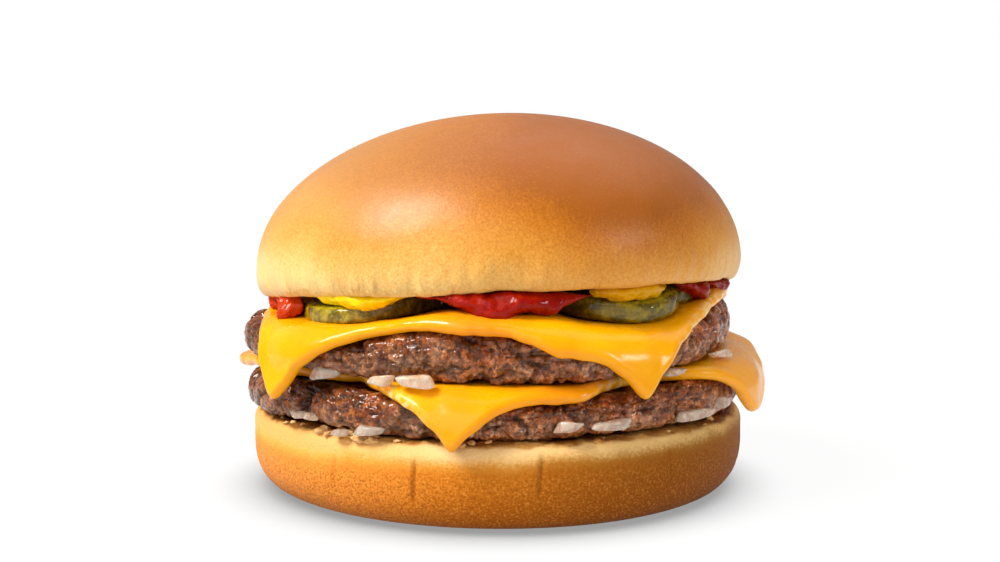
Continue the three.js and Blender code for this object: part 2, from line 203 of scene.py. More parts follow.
# ---- making pieces
def new_piece(name, points, faces, nodes, material, attributes=None):
    """A mesh piece in millimetres, as a child of the whole, standing for CAD nodes."""
    mesh = bpy.data.meshes.new(name)
    points = np.asarray(points, float) / 1000
    corners = np.concatenate([np.asarray(f).ravel() for f in faces])
    counts = np.concatenate([np.full(len(f), f.shape[1]) for f in faces])
    starts = np.concatenate([[0], np.cumsum(counts)[:-1]])
    mesh.vertices.add(len(points))
    mesh.vertices.foreach_set("co", points.ravel())
    mesh.loops.add(len(corners))
    mesh.loops.foreach_set("vertex_index", corners.astype(np.int32))
    mesh.polygons.add(len(counts))
    mesh.polygons.foreach_set("loop_start", starts.astype(np.int32))
    mesh.update(calc_edges=True)
    mesh.validate()
    mesh.polygons.foreach_set("use_smooth", np.ones(len(mesh.polygons), bool))
    for key, values in (attributes or {}).items():
        layer = mesh.attributes.new(key, "FLOAT", "POINT")
        layer.data.foreach_set("value", np.asarray(values, float).ravel())
    mesh.materials.append(material)
    obj = bpy.data.objects.new(name, mesh)
    scene.collection.objects.link(obj)
    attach(obj, "root")
    if nodes:
        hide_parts(*nodes)


def ball_faces(rows, columns, offset=0):
    """Faces of a closed grid whose first and last rows are single points."""
    ring = np.arange(columns)
    nxt = (ring + 1) % columns
    inner = rows - 2
    first, last = 0, 1 + inner * columns
    at = lambda r, c: 1 + r * columns + c
    quads = [np.stack([at(r, ring), at(r, nxt), at(r + 1, nxt), at(r + 1, ring)], -1)
             for r in range(inner - 1)]
    low = np.stack([np.full(columns, first), at(0, nxt), at(0, ring)], -1)
    high = np.stack([at(inner - 1, ring), at(inner - 1, nxt), np.full(columns, last)], -1)
    return [np.concatenate(quads) + offset, np.concatenate([low, high]) + offset]


def flatten(grid):
    """Vertices of such a grid, with the end rows taken as one point each."""
    return np.concatenate([grid[0].mean(0, keepdims=True), grid[1:-1].reshape(-1, *grid.shape[2:]),
                           grid[-1].mean(0, keepdims=True)])


def ball_piece(name, grid, nodes, material, attributes=None):
    """A closed grid as a piece, with an attribute for each named grid of values."""
    layers = {key: flatten(value[..., None]) for key, value in (attributes or {}).items()}
    new_piece(name, flatten(grid), ball_faces(*grid.shape[:2]), nodes, material, layers)


def joined_piece(name, grids, nodes, material):
    """Several closed grids as one piece."""
    points, quads, triangles, offset = [], [], [], 0
    for grid in grids:
        flat = flatten(grid)
        q, t = ball_faces(*grid.shape[:2], offset)
        points.append(flat)
        quads.append(q)
        triangles.append(t)
        offset += len(flat)
    faces = [np.concatenate(quads), np.concatenate(triangles)]
    new_piece(name, np.concatenate(points), faces, nodes, material)


# ---- materials
class Shader:
    """Builds a node material. Positions are in millimetres, in the object's own frame."""

    def __init__(self, name, **sockets):
        self.material = bpy.data.materials.new(name)
        self.material.use_nodes = True
        self.tree = self.material.node_tree
        self.bsdf = self.tree.nodes["Principled BSDF"]
        for key, value in sockets.items():
            self.bsdf.inputs[key.replace("_", " ")].default_value = value
        self.mm = self.scaled(self.node("ShaderNodeTexCoord").outputs["Object"], 1000)
        self.height = None

    def node(self, kind, **props):
        made = self.tree.nodes.new(kind)
        for key, value in props.items():
            setattr(made, key, value)
        return made

    def link(self, a, b):
        self.tree.links.new(a, b)

    def set(self, socket, value):
        if isinstance(value, (int, float, tuple)):
            socket.default_value = value
        else:
            self.link(value, socket)

    def stretched(self, x, y, z):
        """Positions stretched along the axes, for patterns longer one way than another."""
        made = self.node("ShaderNodeVectorMath", operation="MULTIPLY")
        self.link(self.mm, made.inputs[0])
        made.inputs[1].default_value = (x, y, z)
        return made.outputs[0]

    def warped(self, size, amount):
        """Positions shifted about by a noise of that size, which breaks up even patterns."""
        shift = self.node("ShaderNodeTexNoise")
        shift.inputs["Scale"].default_value = 1 / size
        self.link(self.mm, shift.inputs["Vector"])
        made = self.node("ShaderNodeVectorMath", operation="MULTIPLY_ADD")
        self.link(shift.outputs["Color"], made.inputs[0])
        made.inputs[1].default_value = (amount, amount, amount)
        self.link(self.mm, made.inputs[2])
        return made.outputs[0]

    def noise(self, size, detail=2.0, rough=0.5, warp=0.0, vector=None):
        made = self.node("ShaderNodeTexNoise")
        made.inputs["Scale"].default_value = 1 / size
        made.inputs["Detail"].default_value = detail
        made.inputs["Roughness"].default_value = rough
        made.inputs["Distortion"].default_value = warp
        self.link(vector or self.mm, made.inputs["Vector"])
        return made.outputs[0]

    def scattered(self, size, vector=None):
        """A Voronoi texture of points at about that spacing."""
        made = self.node("ShaderNodeTexVoronoi")
        made.inputs["Scale"].default_value = 1 / size
        self.link(vector or self.mm, made.inputs["Vector"])
        return made.outputs

    def cells(self, size, vector=None):
        """The distance to the nearest of such points."""
        return self.scattered(size, vector)["Distance"]

    def grains(self, size, vector):
        """A number from 0 to 1 for the grain about each of such points."""
        parts = self.node("ShaderNodeSeparateColor")
        self.link(self.scattered(size, vector)["Color"], parts.inputs[0])
        return parts.outputs[0]

    def scaled(self, value, factor):
        """A colour or a position times a factor."""
        made = self.node("ShaderNodeVectorMath", operation="SCALE")
        self.link(value, made.inputs[0])
        self.set(made.inputs["Scale"], factor)
        return made.outputs[0]

    def value(self, name):
        return self.node("ShaderNodeAttribute", attribute_name=name).outputs["Fac"]

    def axis(self, letter):
        made = self.node("ShaderNodeSeparateXYZ")
        self.link(self.mm, made.inputs[0])
        return made.outputs[letter]

    def math(self, operation, a, b=0.0, c=None, clamp=False):
        made = self.node("ShaderNodeMath", operation=operation, use_clamp=clamp)
        self.set(made.inputs[0], a)
        self.set(made.inputs[1], b)
        if c is not None:
            self.set(made.inputs[2], c)
        return made.outputs[0]

    def times(self, a, b):
        return self.math("MULTIPLY", a, b)

    def stirred(self, value, amount, *noise, clamp=False):
        """The value plus a noise that swings about zero and spans about that amount."""
        swing = self.math("SUBTRACT", self.noise(*noise), 0.5)
        return self.math("MULTIPLY_ADD", swing, amount, value, clamp)

    def range(self, value, low, high, to_low=0.0, to_high=1.0):
        """An S curve from to_low at low to to_high at high."""
        made = self.node("ShaderNodeMapRange", interpolation_type="SMOOTHSTEP")
        self.link(value, made.inputs["Value"])
        for key, number in (("From Min", low), ("From Max", high), ("To Min", to_low), ("To Max", to_high)):
            made.inputs[key].default_value = number
        return made.outputs["Result"]

    def ramp(self, value, *stops):
        made = self.node("ShaderNodeValToRGB")
        while len(made.color_ramp.elements) < len(stops):
            made.color_ramp.elements.new(0.5)
        for element, (place, colour) in zip(made.color_ramp.elements, stops):
            element.position = place
            element.color = (*colour, 1)
        self.link(value, made.inputs[0])
        return made.outputs[0]

    def blend(self, amount, a, b):
        made = self.node("ShaderNodeMix", data_type="RGBA")
        self.set(made.inputs[0], amount)
        for socket, colour in ((made.inputs[6], a), (made.inputs[7], b)):
            self.set(socket, (*colour, 1) if isinstance(colour, tuple) else colour)
        return made.outputs[2]

    def relief(self, value, depth):
        """Adds a relief of that depth in millimetres."""
        made = self.node("ShaderNodeBump")
        made.inputs["Strength"].default_value = 1
        made.inputs["Distance"].default_value = depth / 1000
        self.link(value, made.inputs["Height"])
        if self.height:
            self.link(self.height, made.inputs["Normal"])
        self.height = made.outputs[0]

    def done(self, colour, roughness=None):
        self.link(colour, self.bsdf.inputs["Base Color"])
        if roughness is not None:
            self.link(roughness, self.bsdf.inputs["Roughness"])
        if self.height:
            self.link(self.height, self.bsdf.inputs["Normal"])
        return self.material


def crown_material():
    s = Shader("baked_crown", Specular_IOR_Level=0.24, Subsurface_Weight=0.03, Subsurface_Scale=0.003,
               Subsurface_Radius=(1.0, 0.5, 0.2), Coat_Weight=0.16, Coat_Roughness=0.32)
    x, z = s.axis("X"), s.axis("Z")
    # the crust browns with height, in soft clouds; its browning to the right is painted shade, as the light
    # falls from the left
    up = s.math("MULTIPLY_ADD", x, -0.05, z)
    cloud = s.stirred(up, 11.0, 21, 3, 0.5, 0.4)
    bake = s.range(cloud, 36.5, 70.0)
    bake = s.math("MULTIPLY_ADD", s.range(x, -50, 50), 0.42, s.math("SUBTRACT", bake, 0.21))
    # paler at the very top, which is a painted sheen, and towards both sides, and darkest about a spot at the
    # upper right
    bake = s.math("SUBTRACT", bake, s.range(z, 62, 76, 0.0, 0.25))
    bake = s.math("ADD", bake, s.range(s.times(x, x), 100, 2000, 0.1, -0.07))
    away_x = s.math("SUBTRACT", x, 24.0)
    away_z = s.math("SUBTRACT", z, 66.0)
    squared = s.math("ADD", s.times(away_x, away_x), s.times(away_z, away_z))
    away = s.math("SQRT", squared)
    bake = s.math("ADD", bake, s.range(away, 4, 27, 0.3, 0.0))
    fine = s.stirred(bake, 0.75, 0.46, 3, 0.7)
    fine = s.stirred(fine, 0.1, 2.4, 3, 0.6)
    colour = s.ramp(fine, (0.0, (0.84, 0.57, 0.20)), (0.17, (0.80, 0.44, 0.105)), (0.42, (0.71, 0.29, 0.032)),
                    (0.72, (0.52, 0.160, 0.007)), (1.0, (0.34, 0.088, 0.003)))
    # painted light: paler at the lower left, where the light falls
    blond = s.times(s.range(x, -46, 6, 0.28, 0.0), s.range(z, 47, 60))
    colour = s.blend(blond, colour, (0.84, 0.56, 0.23))
    dots = s.range(s.cells(0.75), 0.05, 0.3, 1.0, 0.0)
    patchy = s.range(s.noise(8, 2), 0.35, 0.7)
    colour = s.blend(s.times(s.times(dots, patchy), 0.4), colour, (0.34, 0.10, 0.008))
    pale = s.range(s.cells(0.62, vector=s.stretched(1.1, 1.1, 0.9)), 0.04, 0.22, 1.0, 0.0)
    colour = s.blend(s.times(pale, 0.18), colour, (0.95, 0.60, 0.21))
    # small upright flutes over the lower rim, with painted shade in their furrows
    rim = s.times(s.range(z, 41.0, 46.5, 1.0, 0.0), s.range(s.noise(13, 2), 0.36, 0.6, 0.25, 1.0))
    flutes = s.range(s.noise(2.3, 2, 0.5, 0.0, s.stretched(1, 1, 0.07)), 0.36, 0.6)
    furrow = s.times(rim, s.math("SUBTRACT", 1.0, flutes))
    colour = s.blend(s.times(furrow, 0.16), colour, (0.60, 0.28, 0.055))
    s.relief(s.times(rim, flutes), 0.45)
    s.relief(s.noise(0.5, 3, 0.6), 0.07)
    s.relief(s.noise(2.6, 3, 0.5), 0.08)
    return s.done(colour, s.range(s.noise(5, 3), 0.3, 0.7, 0.36, 0.46))


def heel_material():
    s = Shader("baked_heel", Specular_IOR_Level=0.05, Subsurface_Weight=0.03, Subsurface_Scale=0.003,
               Subsurface_Radius=(1.0, 0.5, 0.2))
    x, z = s.axis("X"), s.axis("Z")
    # the side browns downwards, with a pale band along the cut; its being lighter at the left and darker at
    # the right is painted light and shade, as the light falls from the left
    lift = s.math("MULTIPLY_ADD", x, -0.02, s.stirred(z, 2.6, 11, 2))
    level = s.stirred(lift, 2.6, 0.5, 3, 0.75)
    side = s.ramp(s.math("DIVIDE", level, 16.5), (0.0, (0.30, 0.068, 0.001)), (0.30, (0.44, 0.114, 0.004)),
                  (0.68, (0.54, 0.163, 0.010)), (0.79, (0.66, 0.27, 0.032)), (0.88, (0.80, 0.40, 0.09)))
    # painted light and shade: brighter and paler at the left, darker at the right
    side = s.scaled(side, s.range(x, -52, 42, 1.75, 0.5))
    side = s.blend(s.range(x, -54, 0, 0.34, 0.0), side, (0.78, 0.36, 0.12))
    pale = s.ramp(s.range(x, -50, 30), (0.0, (0.86, 0.42, 0.12)), (0.35, (0.88, 0.52, 0.18)),
                  (0.6, (0.95, 0.64, 0.29)), (1.0, (0.90, 0.58, 0.22)))
    side = s.blend(s.range(level, 12.2, 15.2), side, pale)
    # pale specks with dark pits between them, as on baked leather
    brown = s.range(lift, 9.0, 13.0, 1.0, 0.0)
    speck = s.noise(0.42, 2, 0.6)
    pit = s.times(s.range(speck, 0.36, 0.5, 1.0, 0.0), brown)
    colour = s.blend(s.times(pit, 0.5), side, (0.24, 0.055, 0.002))
    light = s.times(s.range(speck, 0.52, 0.68), brown)
    # painted light: more pale specks at the left
    light = s.times(light, s.range(x, -50, 50, 0.48, 0.24))
    colour = s.blend(light, colour, (0.88, 0.38, 0.065))
    pores = s.range(s.cells(1.3), 0.02, 0.3, 1.0, 0.0)
    some = s.times(s.range(s.noise(5, 3), 0.4, 0.65), brown)
    colour = s.blend(s.times(s.times(pores, some), 0.4), colour, (0.20, 0.045, 0.003))
    # painted shade in the upright creases
    colour = s.blend(s.times(s.value("crease"), 0.7), colour, (0.16, 0.036, 0.002))
    # the cut face is crumb, toasted in patches, and soaked under the meat
    toast = s.ramp(s.noise(5.5, 5, 0.65, 0.5), (0.3, (0.80, 0.50, 0.17)), (0.48, (0.62, 0.30, 0.07)),
                   (0.66, (0.33, 0.11, 0.018)))
    holes = s.range(s.cells(0.8), 0.05, 0.4, 0.5, 0.0)
    toast = s.blend(holes, toast, (0.24, 0.075, 0.012))
    colour = s.blend(s.value("cut"), colour, toast)
    colour = s.blend(s.value("soaked"), colour, (0.20, 0.062, 0.008))
    s.relief(speck, 0.2)
    s.relief(s.noise(0.4, 2, 0.6), 0.08)
    return s.done(colour, s.range(s.value("soaked"), 0.2, 0.9, 0.55, 0.22))


def patty_material():
    s = Shader("seared_beef", Specular_IOR_Level=0.06, Subsurface_Weight=0.02, Subsurface_Scale=0.002,
               Subsurface_Radius=(1.0, 0.3, 0.15), Coat_Weight=0.9, Coat_Roughness=0.1, Coat_IOR=1.42)
    crag, up = s.value("crag"), s.value("up")
    bent = s.warped(1.4, 2.4)
    clump = s.noise(3.2, 5, 0.66, 0.6)
    base = s.ramp(clump, (0.28, (0.19, 0.040, 0.007)), (0.44, (0.36, 0.104, 0.024)),
                  (0.56, (0.52, 0.220, 0.095)), (0.72, (0.72, 0.46, 0.28)))
    seared = s.ramp(s.noise(2.4, 5, 0.68, 0.4), (0.28, (0.12, 0.020, 0.004)), (0.46, (0.28, 0.058, 0.010)),
                    (0.6, (0.42, 0.122, 0.026)), (0.74, (0.56, 0.24, 0.08)))
    sear = s.stirred(up, 2.0, 8, 4, 0.6, clamp=True)
    colour = s.blend(s.range(sear, 0.3, 0.9), base, seared)
    colour = s.scaled(colour, s.range(s.grains(0.9, bent), 0.0, 1.0, 0.82, 1.22))
    # painted light: brighter towards the right
    colour = s.scaled(colour, s.range(s.axis("X"), -50, 50, 0.86, 1.3))
    crumb = s.noise(0.8, 4, 0.72, 0.0, bent)
    colour = s.scaled(colour, s.range(crumb, 0.34, 0.58, 0.46, 1.32))
    colour = s.scaled(colour, s.range(s.noise(0.45, 2, 0.6), 0.3, 0.7, 0.88, 1.12))
    colour = s.scaled(colour, s.range(s.noise(2.7, 3, 0.55, 0.3), 0.36, 0.64, 0.56, 1.38))
    # painted shade in the pits
    colour = s.blend(s.range(crag, 0.0, 0.6, 0.9, 0.0), colour, (0.055, 0.012, 0.003))
    fat = s.range(s.noise(1.0, 3, 0.6, 0.0, bent), 0.58, 0.7)
    colour = s.blend(s.times(fat, 0.34), colour, (0.74, 0.46, 0.27))
    s.relief(s.noise(1.7, 3, 0.55), 1.1)
    s.relief(crumb, 1.1)
    s.relief(s.noise(0.6, 3, 0.7), 0.4)
    return s.done(colour, s.range(s.noise(2.2, 3), 0.4, 0.6, 0.3, 0.7))


def cheese_material():
    s = Shader("melted_cheese", Specular_IOR_Level=0.12, Subsurface_Weight=0.2, Subsurface_Scale=0.002,
               Subsurface_Radius=(1.0, 0.5, 0.02), Coat_Weight=0.34, Coat_Roughness=0.11)
    tone = s.ramp(s.noise(10, 3, 0.5, 0.3), (0.3, (0.99, 0.37, 0.0)), (0.5, (1.0, 0.41, 0.0)),
                  (0.7, (1.0, 0.45, 0.0)))
    colour = s.blend(s.times(s.value("edge"), 0.25), tone, (1.0, 0.34, 0.0))
    colour = s.blend(s.value("dull"), colour, (1.0, 0.40, 0.025))
    # painted shade: deeper orange where the slices lie in shade
    colour = s.blend(s.value("deep"), colour, (0.86, 0.29, 0.004))
    colour = s.blend(s.times(s.value("milky"), s.range(s.noise(1.6, 3, 0.6), 0.42, 0.6)), colour,
                     (1.0, 0.66, 0.22))
    s.relief(s.noise(3.2, 3, 0.5), 0.12)
    s.relief(s.noise(0.35, 2), 0.005)
    return s.done(colour, s.range(s.noise(4, 3), 0.3, 0.7, 0.22, 0.34))


def pickle_material():
    s = Shader("pickle", Specular_IOR_Level=0.2, Subsurface_Weight=0.15, Subsurface_Scale=0.003,
               Subsurface_Radius=(0.8, 0.8, 0.1), Coat_Weight=0.6, Coat_Roughness=0.05)
    flesh = s.ramp(s.noise(2.6, 3, 0.5), (0.3, (0.32, 0.27, 0.003)), (0.7, (0.50, 0.42, 0.010)))
    rind = s.ramp(s.noise(2.6, 3, 0.56, 0.4), (0.36, (0.10, 0.075, 0.0)), (0.50, (0.20, 0.142, 0.0)),
                  (0.66, (0.42, 0.31, 0.006)))
    colour = s.blend(s.value("skin"), flesh, rind)
    # painted shade: darker towards the right
    colour = s.scaled(colour, s.range(s.axis("X"), -26, 6, 1.05, 0.78))
    warts = s.range(s.cells(1.2), 0.05, 0.4, 1.0, 0.0)
    colour = s.blend(s.times(warts, 0.15), colour, (0.46, 0.42, 0.05))
    s.relief(s.noise(1.5, 3, 0.55), 1.0)
    s.relief(s.noise(0.7, 2, 0.5), 0.22)
    return s.done(colour, s.range(s.noise(2, 3), 0.3, 0.7, 0.08, 0.34))


def sauce_material(name, dark, light, shaded, thin, scatter):
    s = Shader(name, Specular_IOR_Level=0.05, Subsurface_Weight=0.1, Subsurface_Scale=0.002,
               Subsurface_Radius=scatter, Coat_Weight=0.3, Coat_Roughness=0.04)
    colour = s.ramp(s.noise(2.2, 3, 0.55, 0.4), (0.3, dark), (0.7, light))
    colour = s.blend(s.range(s.axis("X"), -12, 18, 0.0, 0.8), colour, shaded)
    colour = s.blend(s.range(s.axis("X"), -38, -30, 0.45, 0.0), colour, thin)
    s.relief(s.noise(1.3, 3, 0.55), 0.42)
    s.relief(s.noise(0.5, 2), 0.05)
    return s.done(colour, s.range(s.noise(2.5, 3), 0.3, 0.7, 0.12, 0.3))


def onion_material():
    s = Shader("onion", Specular_IOR_Level=0.35, Subsurface_Weight=0.5, Subsurface_Scale=0.003,
               Subsurface_Radius=(1.0, 0.85, 0.75), Coat_Weight=0.4, Coat_Roughness=0.08,
               Transmission_Weight=0.5, IOR=1.36)
    colour = s.ramp(s.noise(1.6, 3, 0.5, 0.3), (0.34, (0.72, 0.46, 0.33)), (0.62, (0.98, 0.84, 0.68)))
    # painted shade: darker lower down, between the patties
    colour = s.scaled(colour, s.range(s.axis("Z"), 18, 26, 0.92, 1.12))
    s.relief(s.noise(1.6, 2, 0.5), 0.12)
    return s.done(colour, s.range(s.noise(1.4, 2), 0.3, 0.7, 0.12, 0.3))


def crumb_material():
    s = Shader("bun_crumb", Specular_IOR_Level=0.15, Roughness=0.7)
    colour = s.ramp(s.noise(1.1, 3, 0.6), (0.3, (0.58, 0.28, 0.08)), (0.6, (0.86, 0.54, 0.23)))
    s.relief(s.noise(0.5, 3, 0.6), 0.15)
    return s.done(colour)


CRUST = crown_material()
HEEL_CRUST = heel_material()
BEEF = patty_material()
CHEESE = cheese_material()
PICKLE = pickle_material()
KETCHUP = sauce_material("ketchup", (0.27, 0.001, 0.0), (0.54, 0.018, 0.0), (0.20, 0.001, 0.0),
                         (0.72, 0.085, 0.004), (1.0, 0.06, 0.005))
MUSTARD = sauce_material("mustard", (0.94, 0.58, 0.0), (1.0, 0.74, 0.006), (0.62, 0.25, 0.0),
                         (1.0, 0.72, 0.006), (1.0, 0.7, 0.03))
ONION = onion_material()
CRUMB = crumb_material()


# ---- the bun
def turned(profile, columns):
    azimuth = np.arange(columns) * 360 / columns
    radius, z = profile[:, :1], profile[:, 1:]
    return polar(azimuth[None], radius, np.broadcast_to(z, (len(profile), columns))), azimuth


def swollen(p, share, count, phase):
    swell = 1 + share * np.sin(np.radians(count * azimuth_of(p) + phase))
    return p * np.stack([swell, swell, np.ones_like(swell)], -1)


def lines_between(points, steps):
    """Points along straight pieces between the given ones, without the last."""
    out = []
    for a, b in zip(points[:-1], points[1:]):
        out.append(np.linspace(a, b, steps + 1)[:-1])
    return np.concatenate(out)


def make_crown():
    c = CROWN
    flat = c["radius"] - c["rim"]
    hollow = c["hollow"]
    under = lines_between(np.array([[0, hollow], [flat * 0.7, hollow * 0.9], [flat * 0.93, hollow * 0.3],
                                    [flat, 0]]), 6)
    rim = arc((flat, c["waist"]), (c["rim"], c["waist"]), -90, 0, 26)[:-1]
    dome = arc((0, c["waist"]), (c["radius"], c["height"] - c["waist"]), 0, 90, 94)
    p, azimuth = turned(np.concatenate([under, rim, dome]), CROWN_COLUMNS)
    p = swollen(p, 0.005, 2, 60)
    h = p[..., 2]
    outer = smooth(flat * 0.8, flat, from_axis(p))
    brink = polar(azimuth, c["radius"], 0.0)
    flute = 0.7 * noise(brink, 1.6, 5) + 0.2 * noise(brink, 3.4, 9)
    strong = 0.35 + 0.65 * smooth(-0.2, 0.5, noise(brink, 18, 3)) + 0.6 * bump(azimuth, -20, 16)
    window = smooth(-0.8, 1.2, h) * (1 - smooth(2, 9, h))
    amount = window * (flute * strong)[None] * FLUTE_DEPTH
    amount = amount + 0.34 * layered(p, 24, 21, 2) * outer + 0.07 * noise(p, 4.5, 31) * outer
    amount = amount + 0.25 * (1 - smooth(0, 4, h)) * outer * noise(p * [1, 1, 0.2], 6, 41)
    p = displaced(p, amount)
    p[..., 2] += c["skew"] * p[..., 0] * smooth(0, c["waist"], p[..., 2])
    # the whole crown leans, by angles in radians
    cos_right, sin_right = math.cos(c["right"]), math.sin(c["right"])
    cos_back, sin_back = math.cos(c["back"]), math.sin(c["back"])
    turn_y = np.array([[cos_right, 0, -sin_right], [0, 1, 0], [sin_right, 0, cos_right]])
    turn_x = np.array([[1, 0, 0], [0, cos_back, -sin_back], [0, sin_back, cos_back]])
    p = p @ (turn_y @ turn_x).T + [0, 0, c["base"]]
    ball_piece("bun_crown_baked", p, ["bun_crown"], CRUST)


# upright creases in the heel's side: azimuth, lowest and highest point, depth
HEEL_CREASES = (
    (-17, 6, 12.7, 0.75), (8.3, 8, 14.3, 0.6), (-36, 7, 12, 0.28), (38, 8, 14, 0.3), (74, 5, 12, 0.4),
    (118, 7, 13, 0.6), (163, 5, 12, 0.5), (-146, 7, 14, 0.6), (-103, 6, 12, 0.45), (-71, 8, 13, 0.3),
)


def make_heel():
    c = HEEL
    base = lines_between(np.array([[0, 0.0], [c["foot"] * 0.6, 0], [c["foot"], 0]]), 8)
    circle = arc((0, 0), (1, 1), -90, 0, 44)[:-1]
    full = boxy(circle, 0.85)
    side = np.stack([c["foot"] + (c["radius"] - c["foot"]) * full[:, 0], c["waist"] * (1 + full[:, 1])], -1)
    top = c["height"] - c["rim"]
    wall = lines_between(np.array([[c["radius"], c["waist"]], [c["radius"], top]]), 14)
    rim = arc((c["radius"] - c["rim"], top), (c["rim"], c["rim"]), 0, 90, 26)
    face = np.array([[c["radius"] - c["rim"] - 1, c["height"]], [c["radius"] - c["rim"] - 2.5, c["height"]],
                     [38.0, c["height"]], [34.0, c["height"]], [22.0, c["height"]], [0, c["height"]]])
    p, azimuth = turned(np.concatenate([base, side, wall, rim, face]), HEEL_COLUMNS)
    p = swollen(p, 0.007, 3, 40)
    z = p[..., 2]
    outer = smooth(36, 46, from_axis(p))
    amount = 0.32 * layered(p, 17, 51, 3) * outer * smooth(0, 3, z)
    nearest, _ = cells(p, 1.5, 61)
    amount = amount + 0.07 * (smooth(0.1, 0.6, nearest) - 0.5) * outer * smooth(0, 1, z)
    # crease marks where the material paints shade into the creases
    crease = 0
    for middle, low, high, depth in HEEL_CREASES:
        lean = middle + 0.25 * np.sin(z * 0.4 + middle)
        line = bump(azimuth[None], lean, 0.5) * smooth(low - 2, low + 1, z)
        line = line * (1 - smooth(high - 1, high + 1.5, z))
        amount = amount - depth * line + 0.3 * depth * bump(azimuth[None], lean, 2.2) * line ** 0.3
        crease = crease + 0.8 * depth * line
    flat = smooth(c["height"] - 0.5, c["height"] - 0.1, z)
    amount = amount + flat * 0.2 * (noise(p, 1.6, 71) + noise(p, 0.8, 72) * 0.6)
    p = displaced(p, amount)
    p[..., 2] = np.maximum(p[..., 2], 0)
    cut = smooth(c["height"] - 0.8, c["height"] - 0.25, p[..., 2] + 0.3 * noise(p, 2.5, 73))
    r = from_axis(p)
    edge = 48.6 + 1.1 * noise(p, 6, 74) + 0.5 * noise(p, 2, 75)
    soaked = (1 - smooth(edge - 0.5, edge + 0.5, r)) * smooth(c["height"] - 1.6, c["height"] - 0.6, p[..., 2])
    soaked = 0.9 * soaked * smooth(-0.3, 0.3, noise(p, 9, 76) + 0.25)
    layers = {"cut": cut, "crease": np.minimum(crease, 1), "soaked": soaked}
    ball_piece("bun_heel_baked", p, ["bun_heel"], HEEL_CRUST, layers)


# ---- the patties
# clefts: azimuth, width in degrees, depth
LOWER = dict(
    seed=3, bottom=HEEL["height"] + GAP, top=23.8,
    radius=around((-135, 50.6), (-90, 52.1), (-62, 51.4), (-47, 48.8), (-36, 50.8), (0, 50), (45, 50.2),
                  (90, 50.4), (180, 50.2)),
    bottom_rim=around((-135, 16.7), (-70, 16.6), (-40, 17.3), (0, 16.6), (35, 17.4), (70, 17), (180, 16.7)),
    top_rim=around((-135, 23.2), (-90, 23.1), (-60, 23.6), (-40, 24.1), (-20, 23.6), (2, 23.2), (28, 23.5),
                   (60, 24.8), (90, 26.1), (108, 27.2), (135, 25.2), (180, 23.6)),
    clefts=((-47.5, 1.5, 1.9), (-14, 1.4, 0.6), (21, 1.6, 0.9), (44, 1.3, 0.7), (88, 1.6, 1.3),
            (131, 1.8, 1.2), (170, 1.5, 1.4), (-150, 1.7, 1.2), (-112, 1.6, 1.5), (-75, 1.6, 0.9)),
)
UPPER = dict(
    seed=17, bottom=LOWER["top"] + PATTY_STACK, top=34.4,
    radius=around((-135, 50.8), (-90, 52.9), (-60, 51), (-38, 49.8), (0, 49.4), (45, 49), (90, 47.8),
                  (135, 49), (180, 49.6)),
    bottom_rim=around((-135, 26.5), (-90, 26.5), (-45, 27.1), (-20, 26.9), (2, 26.6), (14, 26.6), (28, 26.9),
                      (60, 28.2), (90, 29.5), (108, 30.4), (135, 28.5), (180, 27)),
    top_rim=around((-135, 33.2), (-90, 34.3), (-58, 32.8), (-36, 33), (-24, 34.4), (-12, 35.9), (8, 35.4),
                   (20, 34.2), (32, 33.1), (42, 34), (56, 36.2), (70, 37.6), (90, 37.6), (135, 35.6),
                   (180, 33)),
    clefts=((-30, 1.4, 0.8), (-5, 1.6, 0.6), (17, 1.5, 0.7), (58, 1.6, 1.2), (97, 1.8, 1.3), (140, 1.6, 1.1),
            (-165, 1.7, 1.4), (-128, 1.5, 1.1), (-84, 1.6, 1.6)),
)


def face_height(middle, rim, share):
    return mix(middle, rim, smooth(0.5, 0.93, share))


def patty_top(patty, azimuth, distance):
    return face_height(patty["top"], patty["top_rim"](azimuth), distance / patty["radius"](azimuth))


